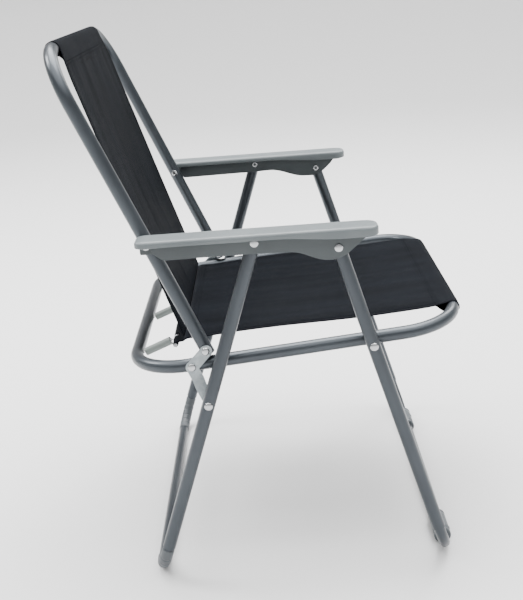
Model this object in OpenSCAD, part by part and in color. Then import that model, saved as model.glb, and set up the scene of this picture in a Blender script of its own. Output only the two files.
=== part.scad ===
// Folding camp chair: four bent steel tube frames, two channel armrests, two V links,
// tubular rivets, and a sling seat held at the back corner by three springs.
// Lateral is X, the sitter faces -Y, +Z is up. The profile is drawn as [forward, up].

/* [Tubes] */
// Outside diameter of the frame tubes
tube_d = 18; // [16:0.5:19]
// Wall thickness of the frame tubes
tube_wall = 1.2; // [0.8:0.1:1.6]
// Half distance between the leg tube centres
leg_x = 258; // [252:1:270]
// Half distance between the side tubes of the back and seat frames
rail_x = 231.5; // [228:0.5:231.5]
// Bend radius of the back frame's top corners
back_bend_r = 70; // [60:1:80]
// Bend radius of the seat frame's front corners
seat_front_bend_r = 78; // [70:1:82]
// Bend radius of the seat frame's rear corners
seat_rear_bend_r = 78; // [66:1:80]
// Bend radius of the ground bars
foot_bend_r = 48; // [44:1:50]
// How far the ground bars plug into the leg tubes
bar_insert = 30; // [20:1:40]

/* [Frames] */
// Length of the back frame from its lower pivot to the middle of its top bar
back_len = 430; // [424:1:434]
// Length of the seat rail from the link pivot forward to the middle of the front bar
seat_front_len = 364; // [358:1:368]
// Length of the seat rail from the link pivot back to the middle of the rear bar
seat_rear_len = 84; // [82:1:88]
// Distance down the front leg from the armrest pivot to the seat pivot
front_leg_drop = 143.5; // [143:0.1:144]
// Distance down the rear leg from the armrest pivot to the link pivot
rear_leg_drop = 233; // [232.5:0.1:233.5]

/* [Armrests] */
// Height of the armrest's top face above the rear leg pivot
arm_rise = 14.5; // [14:0.1:15.5]
// Depth of the armrest's rim
arm_rim = 9.2; // [8.4:0.1:10]
// Wall thickness of the armrest moulding
arm_wall = 2.2; // [2:0.1:2.2]
// Inner edge of the armrest, from the chair's middle
arm_in_x = 241.4; // [241.2:0.1:242]
// Outer edge of the armrest, from the chair's middle
arm_out_x = 282; // [278:0.5:286]

/* [Sling] */
// Half width of the sling
sling_hw = 178; // [160:1:184]
// Thickness of the sling cloth
cloth_t = 1.2; // [1:0.1:1.6]
// Gap between the cloth sleeves and the tubes inside them
sleeve_gap = 0.35; // [0.3:0.05:0.6]

/* [Hardware] */
// Radius of the rivet shanks
rivet_r = 2.95; // [2.9:0.01:2.97]
// Radius of the rivet holes
hole_r = 3; // [3:0.01:3.02]
// Radius of the domed rivet heads
head_r = 5.6; // [5:0.1:5.8]
// Thickness of the V link plates
plate_t = 2; // [1.6:0.1:2.2]
// Width of the V link's arms
plate_w = 16; // [14:0.5:17]
// Distance between neighbouring springs
spring_pitch = 150; // [120:1:155]
// Outside diameter of the plastic sleeves over the springs
spring_sleeve_d = 11.6; // [11:0.1:12.5]

/* [Feet] */
// Outside diameter of the front foot sleeves
foot_d = 24.8; // [24.6:0.1:25.2]
// Length of each front foot sleeve
foot_len = 57; // [40:1:60]
// Outside diameter of the boots round the rear bends
boot_d = 17.4; // [17.2:0.1:17.6]

/* [Hidden] */
$fn = 64;
e = 0.01;

tr = tube_d / 2;
// pivots, as [forward, up]
a1 = [-155.5, 488];    // armrest to back frame
a2 = [-17, 488];       // armrest to rear leg
a3 = [88.5, 474.5];    // armrest to front leg
ff = [223, 12];        // front ground bar
rf = [-17 - 167 / 478 * (488 - boot_d / 2), boot_d / 2]; // rear ground bar, its boots on the floor
k0 = [-113, 315.5];    // link to seat rail
b1 = [-92.5, 337];     // link to back frame
function dir(a, b) = (b - a) / norm(b - a);
function ang(v) = atan2(v[1], v[0]);
s1 = a3 + front_leg_drop * dir(a3, ff);   // seat rail to front leg
r1 = a2 + rear_leg_drop * dir(a2, rf);    // link to rear leg
bdir = dir(b1, a1);
sdir = dir(k0, s1);
// shift that puts the middle of the whole depth at zero
top_c = b1 + back_len * bdir;
f_front = (k0 + seat_front_len * sdir)[0] + tr + sleeve_gap + cloth_t;
f_back = top_c[0] - tr - sleeve_gap - cloth_t;
f0 = -(f_front + f_back) / 2;
function at(q, x = 0) = [x, -(q[0] + f0), q[1]];

// Puts a shape drawn in a frame's own plane into place: its X stays lateral,
// its Y runs from point a towards point b, and its Z is the plane's normal
module in_plane(a, b) {
    translate(at(a)) rotate([180 - ang(b - a), 0, 0]) children();
}
// Puts a flat profile, drawn as [forward, up], across the chair from x0 to x1
module across(x0, x1) {
    translate([x0, -f0, 0]) rotate([90, 0, 90]) mirror([1, 0]) linear_extrude(x1 - x0) children();
}
module side_hole(q, r = hole_r, x0 = -300, x1 = 300) {
    translate(at(q, x0)) rotate([0, 90, 0]) cylinder(h = x1 - x0, r = r);
}
module both() { children(); mirror([1, 0, 0]) children(); }

// U of round bar in its own plane: legs from y0 up to a crossbar at y1
module u_bar(hw, y0, y1, br, r) {
    for (sx = [-1, 1]) translate([sx * hw, y0, 0]) rotate([-90, 0, 0]) cylinder(h = y1 - br - y0, r = r);
    translate([-hw + br, y1 - br, 0]) rotate([0, 0, 90]) rotate_extrude(angle = 90) translate([br, 0]) circle(r);
    translate([hw - br, y1 - br, 0]) rotate_extrude(angle = 90) translate([br, 0]) circle(r);
    translate([-hw + br, y1, 0]) rotate([0, 90, 0]) cylinder(h = 2 * (hw - br), r = r);
}
module u_tube(hw, y0, y1, br) {
    difference() {
        u_bar(hw, y0, y1, br, tr);
        u_bar(hw, y0 - 1, y1, br, tr - tube_wall);
    }
}
// closed loop of round bar between y0 and y1, with its own bend radius at each end
module loop_bar(hw, y0, y1, br0, br1, r) {
    for (sx = [-1, 1]) translate([sx * hw, y0 + br0, 0]) rotate([-90, 0, 0]) cylinder(h = y1 - br1 - y0 - br0, r = r);
    translate([-hw + br1, y1 - br1, 0]) rotate([0, 0, 90]) rotate_extrude(angle = 90) translate([br1, 0]) circle(r);
    translate([hw - br1, y1 - br1, 0]) rotate_extrude(angle = 90) translate([br1, 0]) circle(r);
    translate([-hw + br0, y0 + br0, 0]) rotate([0, 0, 180]) rotate_extrude(angle = 90) translate([br0, 0]) circle(r);
    translate([hw - br0, y0 + br0, 0]) rotate([0, 0, 270]) rotate_extrude(angle = 90) translate([br0, 0]) circle(r);
    translate([-hw + br1, y1, 0]) rotate([0, 90, 0]) cylinder(h = 2 * (hw - br1), r = r);
    translate([-hw + br0, y0, 0]) rotate([0, 90, 0]) cylinder(h = 2 * (hw - br0), r = r);
}

// ---- frames ----
back_end = 7;      // back tube below its lower pivot
leg_end = 5;       // leg tube above its armrest pivot
module back_frame() {
    color([0.46, 0.49, 0.52]) difference() {
        in_plane(b1, a1) u_tube(rail_x, -back_end, back_len, back_bend_r);
        side_hole(a1);
        side_hole(b1);
    }
}
module seat_frame() {
    color([0.46, 0.49, 0.52]) difference() {
        in_plane(k0, s1) difference() {
            loop_bar(rail_x, -seat_rear_len, seat_front_len, seat_rear_bend_r, seat_front_bend_r, tr);
            loop_bar(rail_x, -seat_rear_len, seat_front_len, seat_rear_bend_r, seat_front_bend_r, tr - tube_wall);
        }
        side_hole(k0);
        side_hole(s1);
        // holes for the spring hooks, through the front wall of the rear bar
        for (i = [-1:1]) translate([i * spring_pitch, 0, 0]) multmatrix(spring_frame())
            translate([0, 0, -6]) cylinder(h = 9, r = 1.6);
    }
}
bar_r = tr - tube_wall - 0.05;   // the ground bars plug into the leg tubes
module leg_tubes(top, foot) {
    in_plane(top, foot) for (sx = [-1, 1]) translate([sx * leg_x, -leg_end, 0]) rotate([-90, 0, 0]) difference() {
        cylinder(h = norm(foot - top) - foot_bend_r + leg_end, r = tr);
        translate([0, 0, -1]) cylinder(h = norm(foot - top) + 2, r = tr - tube_wall);
    }
}
module ground_bar(top, foot) {
    l = norm(foot - top);
    color([0.46, 0.49, 0.52]) in_plane(top, foot) difference() {
        u_bar(leg_x, l - foot_bend_r - bar_insert, l, foot_bend_r, bar_r);
        u_bar(leg_x, l - foot_bend_r - bar_insert - 1, l, foot_bend_r, bar_r - tube_wall);
    }
}
module front_leg_tubes() {
    color([0.46, 0.49, 0.52]) difference() {
        leg_tubes(a3, ff);
        side_hole(a3);
        side_hole(s1);
    }
}
module rear_leg_tubes() {
    color([0.46, 0.49, 0.52]) difference() {
        leg_tubes(a2, rf);
        side_hole(a2);
        side_hole(r1);
    }
}
module front_ground_bar() { ground_bar(a3, ff); }
module rear_ground_bar() { ground_bar(a2, rf); }

// ---- armrests ----
arm_top = a2[1] + arm_rise;
arm_rear = a1[0] - 11.5;
arm_front = a3[0] + 51;
skirt_gap = tr + 0.4;
// outline of the top plate, seen from above, as [forward, lateral]
module arm_plan(inset = 0) {
    rr = 12 - inset;
    rfr = 14 - inset;
    x0 = arm_in_x + inset;
    x1 = arm_out_x - inset;
    y0 = arm_rear + inset;
    y1 = arm_front - inset;
    translate([y0 + rr, x0 + rr]) circle(rr);
    translate([y0 + rr, x1 - rr]) circle(rr);
    translate([y1 - rfr, x0 + rfr]) circle(rfr);
    translate([y1 - rfr, x1 - rfr]) circle(rfr);
    translate([y0 + rr, x0]) square([y1 - rfr - y0 - rr, x1 - x0]);
    translate([y0, x0 + rr]) square([rr + 1, x1 - x0 - 2 * rr]);
    translate([y1 - rfr - 1, x0 + rfr]) square([rfr + 1, x1 - x0 - 2 * rfr]);
}
// side profile of the outer skirt, as [forward, up]
arm_y = arm_top - arm_wall - e;
module skirt_profile() {
    polygon(concat(
        [[a1[0] + 8, arm_y], [a1[0] + 8, arm_y - 8.6], [a1[0] + 9.7, a1[1] - 4.3], [a1[0] + 22.5, a1[1] - 14.4], [a1[0] + 69, a1[1] - 13.9]],
        [[a2[0] + 4, a2[1] - 14], [a2[0] + 44, a2[1] - 15]],
        [for (i = [1:15]) let (t = i / 16) [a2[0] + 44 + t * 49, a2[1] - 15 - 13.5 * (1 - cos(180 * t)) / 2]],
        [[a3[0] - 7, a3[1] - 15.2], [a3[0] + 1, a3[1] - 13.3], [a3[0] + 11, a3[1] - 8.8], [a3[0] + 29.4, a3[1] + 6.8], [a3[0] + 41, a3[1] + 16.2], [a3[0] + 41, arm_y]]));
}
// side profile of the inner skirt
module inner_skirt_profile() {
    polygon(concat(
        [[a1[0] + 8, arm_y], [a1[0] + 8, a1[1] - 6], [a1[0] + 13.5, a1[1] - 14], [a2[0] - 9, a2[1] - 12.7], [a2[0] + 26, a2[1] - 11.7]],
        [for (i = [1:11]) let (t = i / 12) [a2[0] + 26 + t * 60, a2[1] - 11.7 - 14 * (1 - cos(180 * t)) / 2]],
        [[a3[0] - 3.5, a3[1] - 12.5], [a3[0] + 12.5, a3[1] - 5], [a3[0] + 25.5, a3[1] + 6.5], [a3[0] + 34.5, a3[1] + 18], [a3[0] + 34.5, arm_y]]));
}
module armrest() {
    color([0.62, 0.65, 0.66]) difference() {
        union() {
            difference() {
                translate([0, -f0, arm_top - arm_rim]) rotate([0, 0, -90]) linear_extrude(arm_rim) arm_plan();
                translate([0, -f0, arm_top - arm_rim - 1]) rotate([0, 0, -90]) linear_extrude(arm_rim + 1 - arm_wall) arm_plan(arm_wall);
            }
            across(leg_x + skirt_gap, leg_x + skirt_gap + arm_wall) skirt_profile();
            across(leg_x - skirt_gap - arm_wall, leg_x - skirt_gap) inner_skirt_profile();
            // lug beside the back tube
            across(arm_in_x, arm_in_x + 7.2) union() {
                translate([a1[0] - 8.5, a1[1] - 2]) square([17, arm_top - arm_wall + e - a1[1] + 2]);
                translate([a1[0], a1[1] - 2]) circle(8.5);
                translate([a1[0] - 8.5, a1[1] - 11]) square([17, 9]);
            }
        }
        side_hole(a1, x0 = 200);
        side_hole(a2, x0 = 200);
        side_hole(a3, x0 = 200);
    }
}
module left_armrest() { mirror([1, 0, 0]) armrest(); }
module right_armrest() { armrest(); }

// ---- V links ----
link_in = rail_x + tr + 0.5;           // inner face of the upper arm
link_low = leg_x - tr - 0.8 - plate_t; // inner face of the lower arm
link_len = norm(r1 - k0);              // pivot to pivot of the lower arm
eye_r = plate_w / 2 + 0.3;             // rounded ends
module arm2d(p, q) {
    translate(p) rotate(ang(q - p)) translate([0, -plate_w / 2]) square([norm(q - p), plate_w]);
}
module v_link() {
    color([0.68, 0.70, 0.71]) difference() {
        union() {
            across(link_in, link_in + plate_t) union() {
                translate(b1) circle(eye_r);
                translate(k0) circle(eye_r);
                arm2d(b1, k0);
            }
            across(link_low, link_low + plate_t) translate(r1) circle(eye_r);
            // lower arm, stepped outward half way down to reach the rear leg
            translate(at(k0)) rotate([180 - ang(r1 - k0), 0, 0]) translate([0, 0, -plate_w / 2]) linear_extrude(plate_w)
                polygon([[link_in, 0], [link_in, 0.38 * link_len], [link_low, 0.54 * link_len], [link_low, link_len],
                    [link_low + plate_t, link_len], [link_low + plate_t, 0.54 * link_len], [link_in + plate_t, 0.38 * link_len], [link_in + plate_t, 0]]);
        }
        side_hole(b1, x0 = 200);
        side_hole(k0, x0 = 200);
        side_hole(r1, x0 = 200);
    }
}
module left_v_link() { mirror([1, 0, 0]) v_link(); }
module right_v_link() { v_link(); }

// ---- rivets: a shank from x0 to x1, a domed head outside x1, a rolled tail inside x0 ----
module dome(x) {
    h = 2.4;
    translate([x, 0, 0]) rotate([0, 90, 0]) rotate_extrude()
        polygon(concat([[0, 0], [head_r, 0]], [for (i = [1:8]) [head_r * cos(i * 90 / 8), h * sin(i * 90 / 8)]]));
}
module tail(x, r = 4.6) {
    translate([x - 1.1, 0, 0]) rotate([0, 90, 0]) difference() {
        cylinder(h = 1.1, r = r);
        translate([0, 0, -1]) cylinder(h = 3, r = 1.8);
    }
}
module shank(x0, x1) {
    translate([x0, 0, 0]) rotate([0, 90, 0]) difference() {
        cylinder(h = x1 - x0, r = rivet_r);
        translate([0, 0, -1]) cylinder(h = 5, r = 1.8);
    }
}
module rivet(q, x0, x1) {
    color([0.80, 0.81, 0.82]) both() translate(at(q)) { shank(x0 - e, x1 + e); dome(x1); tail(x0); }
}
rail_in = rail_x - tr - 0.05;
module armrest_back_rivets() { rivet(a1, rail_in, arm_in_x + 7.2 + 0.1); }
module armrest_rear_leg_rivets() { rivet(a2, leg_x - skirt_gap - arm_wall - 0.1, leg_x + skirt_gap + arm_wall + 0.1); }
module armrest_front_leg_rivets() { rivet(a3, leg_x - skirt_gap - arm_wall - 0.1, leg_x + skirt_gap + arm_wall + 0.1); }
module link_back_rivets() { rivet(b1, rail_in, link_in + plate_t + 0.1); }
module link_seat_rivets() { rivet(k0, rail_in, link_in + plate_t + 0.1); }
// the two pivots that close the linkage: the leg keeps the head and shank,
// and the part inside it keeps the rolled tail
module seat_pivot_rivets() {
    color([0.80, 0.81, 0.82]) both() translate(at(s1)) { shank(rail_x + tr + 0.7, leg_x + tr + 0.1); dome(leg_x + tr + 0.1 - e); }
}
module seat_pivot_rivet_tails() {
    color([0.80, 0.81, 0.82]) both() translate(at(s1)) { shank(rail_in - e, rail_x + tr); tail(rail_in); }
}
module link_leg_rivets() {
    color([0.80, 0.81, 0.82]) both() translate(at(r1)) { shank(leg_x - tr - 0.2, leg_x + tr + 0.1); dome(leg_x + tr + 0.1 - e); }
}
module link_leg_rivet_tails() {
    color([0.80, 0.81, 0.82]) both() translate(at(r1)) { shank(link_low - 0.1, link_low + plate_t - 0.1); tail(link_low - 0.1 + e, 4.4); }
}
module seat_pivot_spacers() {
    color([0.30, 0.32, 0.33]) both() translate(at(s1, rail_x + tr + 0.5)) rotate([0, 90, 0]) difference() {
        cylinder(h = leg_x - rail_x - 2 * tr - 0.6, r = 7);
        translate([0, 0, -1]) cylinder(h = 20, r = hole_r);
    }
}

// ---- foot sleeves ----
module front_foot_sleeves() {
    color([0.40, 0.42, 0.43]) both() difference() {
        translate(at(ff, leg_x - foot_bend_r - foot_len - 1)) rotate([0, 90, 0]) difference() {
            cylinder(h = foot_len, r = foot_d / 2);
            translate([0, 0, -1]) cylinder(h = foot_len + 2, r = bar_r + 0.02);
        }
        // flat sole
        translate(at([ff[0], -10], leg_x - foot_bend_r - foot_len / 2)) cube([foot_len + 10, 40, 20], center = true);
    }
}
// a thin boot round each bend of the rear bar
module rear_foot_sleeves() {
    color([0.40, 0.42, 0.43]) both() in_plane(a2, rf)
        translate([leg_x - foot_bend_r, norm(rf - a2) - foot_bend_r, 0])
            rotate([0, 0, 4]) rotate_extrude(angle = 86) translate([foot_bend_r, 0])
                difference() { circle(boot_d / 2); circle(bar_r + 0.1); }
}

// ---- sling ----
// a point given along and above the seat rail, and along and in front of the back tube
function on_seat(s, o) = k0 + s * sdir + o * [-sdir[1], sdir[0]];
function on_back(s, o) = b1 + s * bdir + o * [bdir[1], -bdir[0]];
rod_c = on_seat(-25, 12);
corner = on_seat(-10, 19.5);
corner_back = on_back(16.5, -30.2);
sr_in = tr + sleeve_gap;
sr_out = tr + sleeve_gap + cloth_t;
module ribbon(p, q, t) {
    translate(p) rotate(ang(q - p)) translate([0, -t / 2]) square([norm(q - p), t]);
}
module ring2d(c, ri, ro) {
    translate(c) difference() { circle(ro); circle(ri); }
}
front_c = on_seat(seat_front_len, 0);
front_tan = on_seat(seat_front_len - 1, (sr_in + sr_out) / 2);
back_tan = on_back(back_len - 1, (sr_in + sr_out) / 2);
module sling_back() {
    color([0.13, 0.14, 0.17]) {
        hw1 = min(sling_hw, rail_x - back_bend_r - 1);
        across(-hw1, hw1) union() {
            ring2d(top_c, sr_in, sr_out);
            ribbon(back_tan, corner_back, cloth_t);
        }
        for (sx = [-1, 1]) mirror([sx < 0 ? 1 : 0, 0, 0])
            across(hw1 - e, sling_hw) ribbon(back_tan, corner_back, cloth_t);
    }
}
module sling_seat() {
    color([0.13, 0.14, 0.17]) difference() {
        union() {
            hw1 = min(sling_hw, rail_x - seat_front_bend_r - 1);
            across(-hw1, hw1) union() { ring2d(front_c, sr_in, sr_out); ribbon(front_tan, corner, cloth_t); }
            for (sx = [-1, 1]) mirror([sx < 0 ? 1 : 0, 0, 0]) across(hw1 - e, sling_hw) ribbon(front_tan, corner, cloth_t);
            across(-sling_hw, sling_hw) union() {
                ribbon(corner, rod_c + 3.8 * dir(rod_c, corner), cloth_t);
                translate(corner) circle(cloth_t / 2);
                ring2d(rod_c, 3.2, 4.4);
            }
        }
        // openings in the hem for the spring hooks
        for (i = [-1:1]) across(i * spring_pitch - 7, i * spring_pitch + 7) translate(rod_c) circle(9);
    }
}
module hem_rod() {
    color([0.75, 0.76, 0.77]) translate(at(rod_c, -sling_hw - 3)) rotate([0, 90, 0]) cylinder(h = 2 * sling_hw + 6, r = 2.5);
}

// ---- springs ----
bar_c = on_seat(-seat_rear_len, 0);
hook_in = on_seat(-seat_rear_len + 8.1, -3.2);
sp_dir = dir(hook_in, rod_c);
sp_len = norm(rod_c - hook_in);
// frame with its Z along a spring, from the rear bar towards the hem rod
function spring_frame() = let (d = [0, -sp_dir[0], sp_dir[1]], u = [0, d[2], -d[1]], o = at(hook_in))
    [[1, 0, 0, o[0]], [0, u[1], d[1], o[1]], [0, u[2], d[2], o[2]], [0, 0, 0, 1]];
wire_r = 0.7;
coil_r = 3.6;
coil0 = 6;
coil1 = sp_len - 9;
module spring() {
    // close-wound body
    rotate_extrude() polygon(concat([[coil_r - 2 * wire_r, coil0], [coil_r - 2 * wire_r, coil1]],
        [for (i = [0:floor((coil1 - coil0) / (2 * wire_r)) * 4]) let (z = coil1 - i * wire_r / 2) if (z > coil0)
            [coil_r - wire_r * (1 - abs(sin(i * 45))) * 0.6, z]], [[coil_r - wire_r, coil0]]));
    // straight hook into the rear bar
    translate([0, 0, -3]) cylinder(h = coil0 + 3.2, r = wire_r);
    translate([0, 0, coil0 - 0.1]) cylinder(h = 1.4, r = coil_r - wire_r);
    // eye round the hem rod
    translate([0, 0, coil1 - 1.3]) cylinder(h = 1.4, r = coil_r - wire_r);
    translate([0, 0, coil1 - 0.1]) cylinder(h = sp_len - 3.1 - wire_r - coil1 + 0.2, r = wire_r);
    translate([0, 0, sp_len]) rotate([0, 90, 0]) rotate_extrude() translate([3.1 + wire_r - 0.1, 0]) circle(wire_r);
}
module springs() {
    color([0.72, 0.73, 0.74]) for (i = [-1:1]) translate([i * spring_pitch, 0, 0]) multmatrix(spring_frame()) spring();
}
module spring_sleeves() {
    color([0.62, 0.66, 0.64]) for (i = [-1:1]) translate([i * spring_pitch, 0, 0]) multmatrix(spring_frame())
        translate([0, 0, 3.5]) difference() {
            cylinder(h = sp_len - 13, r = spring_sleeve_d / 2);
            translate([0, 0, -1]) cylinder(h = sp_len, r = spring_sleeve_d / 2 - 1.4);
        }
}

back_frame();
seat_frame();
front_leg_tubes();
front_ground_bar();
rear_leg_tubes();
rear_ground_bar();
left_armrest();
right_armrest();
left_v_link();
right_v_link();
armrest_back_rivets();
armrest_rear_leg_rivets();
armrest_front_leg_rivets();
seat_pivot_rivets();
seat_pivot_rivet_tails();
link_back_rivets();
link_seat_rivets();
link_leg_rivets();
link_leg_rivet_tails();
seat_pivot_spacers();
front_foot_sleeves();
rear_foot_sleeves();
sling_back();
sling_seat();
hem_rod();
springs();
spring_sleeves();
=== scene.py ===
import bpy
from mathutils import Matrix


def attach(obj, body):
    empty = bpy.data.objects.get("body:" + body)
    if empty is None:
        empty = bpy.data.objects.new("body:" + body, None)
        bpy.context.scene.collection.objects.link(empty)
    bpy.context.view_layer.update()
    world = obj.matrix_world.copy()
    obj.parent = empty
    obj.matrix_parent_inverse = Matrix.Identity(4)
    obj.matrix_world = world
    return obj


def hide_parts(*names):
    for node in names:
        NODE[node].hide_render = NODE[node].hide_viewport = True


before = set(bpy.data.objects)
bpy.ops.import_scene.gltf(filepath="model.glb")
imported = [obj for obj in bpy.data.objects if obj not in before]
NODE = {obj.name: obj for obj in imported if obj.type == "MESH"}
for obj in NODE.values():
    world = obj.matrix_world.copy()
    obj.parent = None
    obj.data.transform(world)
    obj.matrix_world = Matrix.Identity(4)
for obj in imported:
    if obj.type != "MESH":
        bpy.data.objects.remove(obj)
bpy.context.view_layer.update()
import bpy, bmesh, math
from mathutils import Vector, Matrix, noise

col = bpy.context.scene.collection

# ------------------------------------------------------------------ geometry of the chair, in mm as [forward, up]
A1 = (-155.5, 488.0); A2 = (-17.0, 488.0); A3 = (88.5, 474.5)
FF = (223.0, 12.0); RF = (-17.0 - 167.0 / 478.0 * (488.0 - 8.7), 8.7); K0 = (-113.0, 315.5); B1 = (-92.5, 337.0)


def v2(p):
    return Vector(p)


def unit(a, b):
    d = v2(b) - v2(a)
    return d / d.length


TR = 9.0
S1 = v2(A3) + 143.5 * unit(A3, FF)
R1 = v2(A2) + 233.0 * unit(A2, RF)
BD = unit(B1, A1)
SD = unit(K0, S1)
TOP = v2(B1) + 430.0 * BD
FRONT_BAR = v2(K0) + 364.0 * SD
F0 = -((FRONT_BAR[0] + 10.55) + (TOP[0] - 10.55)) / 2
LEG_X = 258.0
RAIL_X = 231.5
BEND = 48.0


def W(f, z, x=0.0):
    return Vector((x, -(f + F0), z)) / 1000.0


def on_seat(s, o):
    return v2(K0) + s * SD + o * Vector((-SD[1], SD[0]))


def on_back(s, o):
    return v2(B1) + s * BD + o * Vector((BD[1], -BD[0]))


# ------------------------------------------------------------------ small helpers
def new_obj(name, verts, faces, smooth=True, mat=None):
    me = bpy.data.meshes.new(name)
    me.from_pydata([tuple(v) for v in verts], [], faces)
    me.validate()
    me.update()
    ob = bpy.data.objects.new(name, me)
    col.objects.link(ob)
    if smooth:
        me.polygons.foreach_set("use_smooth", [True] * len(me.polygons))
    if mat is not None:
        me.materials.append(mat)
    return ob


def fix_normals(ob):
    bm = bmesh.new()
    bm.from_mesh(ob.data)
    bmesh.ops.recalc_face_normals(bm, faces=bm.faces)
    bm.to_mesh(ob.data)
    bm.free()
    ob.data.update()


def join(name, obs):
    bm = bmesh.new()
    mats = []
    for o in obs:
        base = len(bm.faces)
        bm.from_mesh(o.data)
        bm.faces.ensure_lookup_table()
        for m in o.data.materials:
            if m not in mats:
                mats.append(m)
        remap = [mats.index(m) for m in o.data.materials]
        for f in bm.faces[base:]:
            f.material_index = remap[f.material_index] if remap else 0
    me = bpy.data.meshes.new(name)
    bm.to_mesh(me)
    bm.free()
    for m in mats:
        me.materials.append(m)
    ob = bpy.data.objects.new(name, me)
    col.objects.link(ob)
    for o in obs:
        d = o.data
        bpy.data.objects.remove(o)
        bpy.data.meshes.remove(d)
    return ob


def smooth_by_angle(ob, deg=35):
    me = ob.data
    me.polygons.foreach_set("use_smooth", [True] * len(me.polygons))
    bm = bmesh.new()
    bm.from_mesh(me)
    lim = math.radians(deg)
    for e in bm.edges:
        if len(e.link_faces) == 2:
            e.smooth = e.calc_face_angle(0) < lim
    bm.to_mesh(me)
    bm.free()


def bevel(ob, width, segments=2, angle=30):
    m = ob.modifiers.new("edge", "BEVEL")
    m.width = width
    m.segments = segments
    m.limit_method = "ANGLE"
    m.angle_limit = math.radians(angle)
    m.harden_normals = False
    apply_mods(ob)


def apply_mods(ob):
    dg = bpy.context.evaluated_depsgraph_get()
    dg.update()
    me = bpy.data.meshes.new_from_object(ob.evaluated_get(dg))
    old = ob.data
    ob.modifiers.clear()
    ob.data = me
    bpy.data.meshes.remove(old)


# ------------------------------------------------------------------ materials
class Tree:
    def __init__(self, name):
        self.mat = bpy.data.materials.new(name)
        self.mat.use_nodes = True
        self.nt = self.mat.node_tree
        self.b = self.nt.nodes["Principled BSDF"]

    def n(self, kind, **kw):
        nd = self.nt.nodes.new(kind)
        for k, v in kw.items():
            if k.startswith("i_"):
                nd.inputs[k[2:].replace("_", " ")].default_value = v
            else:
                setattr(nd, k, v)
        return nd

    def l(self, a, b):
        self.nt.links.new(a, b)

    def coords(self, kind="Object", scale=(1, 1, 1)):
        t = self.n("ShaderNodeTexCoord")
        m = self.n("ShaderNodeMapping")
        m.inputs["Scale"].default_value = scale
        self.l(t.outputs[kind], m.inputs["Vector"])
        return m.outputs["Vector"]

    def noise(self, vec, scale, detail=3, rough=0.5):
        nd = self.n("ShaderNodeTexNoise")
        nd.inputs["Scale"].default_value = scale
        nd.inputs["Detail"].default_value = detail
        nd.inputs["Roughness"].default_value = rough
        self.l(vec, nd.inputs["Vector"])
        return nd.outputs["Fac"]

    def ramp(self, fac, stops):
        r = self.n("ShaderNodeValToRGB")
        els = r.color_ramp.elements
        while len(els) < len(stops):
            els.new(0.5)
        for e, (p, c) in zip(els, stops):
            e.position = p
            e.color = (*c, 1) if len(c) == 3 else c
        self.l(fac, r.inputs["Fac"])
        return r.outputs["Color"]

    def mapr(self, v, a, b, c, d):
        m = self.n("ShaderNodeMapRange")
        for k, x in zip(("From Min", "From Max", "To Min", "To Max"), (a, b, c, d)):
            m.inputs[k].default_value = x
        self.l(v, m.inputs["Value"])
        return m.outputs["Result"]

    def math(self, op, a, b=None, clamp=False):
        m = self.n("ShaderNodeMath", operation=op, use_clamp=clamp)
        for i, x in enumerate((a, b)):
            if x is None:
                continue
            if isinstance(x, (int, float)):
                m.inputs[i].default_value = x
            else:
                self.l(x, m.inputs[i])
        return m.outputs[0]

    def bump(self, h, strength, dist):
        b = self.n("ShaderNodeBump")
        b.inputs["Strength"].default_value = strength
        b.inputs["Distance"].default_value = dist
        self.l(h, b.inputs["Height"])
        self.l(b.outputs["Normal"], self.b.inputs["Normal"])
        return b

    def mix(self, fac, a, b):
        m = self.n("ShaderNodeMix", data_type="RGBA")
        if isinstance(fac, (int, float)):
            m.inputs[0].default_value = fac
        else:
            self.l(fac, m.inputs[0])
        for i, x in ((6, a), (7, b)):
            if isinstance(x, tuple):
                m.inputs[i].default_value = (*x, 1)
            else:
                self.l(x, m.inputs[i])
        return m.outputs[2]

    def set(self, **kw):
        for k, v in kw.items():
            s = self.b.inputs[k.replace("_", " ")]
            s.default_value = (*v, 1) if isinstance(v, tuple) and len(v) == 3 else v
        return self


def m_tube():
    t = Tree("painted_tube")
    t.set(Metallic=0.65)
    v = t.coords()
    big = t.noise(v, 9, 3)
    fine = t.noise(v, 900, 2)
    speck = t.noise(v, 260, 4, 0.7)
    c = t.ramp(big, [(0.3, (0.034, 0.040, 0.047)), (0.7, (0.047, 0.055, 0.063))])
    worn = t.mapr(speck, 0.70, 0.76, 0.0, 1.0)
    c = t.mix(t.math("MULTIPLY", worn, 0.25), c, (0.12, 0.13, 0.145))
    t.l(c, t.b.inputs["Base Color"])
    r = t.mapr(big, 0.3, 0.7, 0.27, 0.36)
    r = t.math("ADD", r, t.math("MULTIPLY", fine, 0.05))
    t.l(r, t.b.inputs["Roughness"])
    t.set(Coat_Weight=0.16, Coat_Roughness=0.12)
    t.bump(t.math("ADD", t.math("MULTIPLY", fine, 0.4), speck), 0.12, 0.0004)
    return t.mat


def m_plastic(name, dark, light, rough=0.42, grain=650, spec=0.5):
    t = Tree(name)
    t.set(Specular_IOR_Level=spec)
    v = t.coords()
    big = t.noise(v, 14, 3)
    g = t.noise(v, grain, 3, 0.6)
    scuff = t.noise(t.coords(scale=(1, 0.18, 1)), 120, 4, 0.65)
    c = t.ramp(big, [(0.3, dark), (0.72, light)])
    c = t.mix(t.mapr(scuff, 0.62, 0.78, 0.0, 0.28), c, tuple(min(1, x * 1.35) for x in light))
    t.l(c, t.b.inputs["Base Color"])
    t.l(t.math("ADD", t.mapr(g, 0.3, 0.7, rough - 0.05, rough + 0.07), t.mapr(scuff, 0.6, 0.8, 0.0, 0.08)), t.b.inputs["Roughness"])
    t.bump(g, 0.22, 0.0003)
    return t.mat


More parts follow.
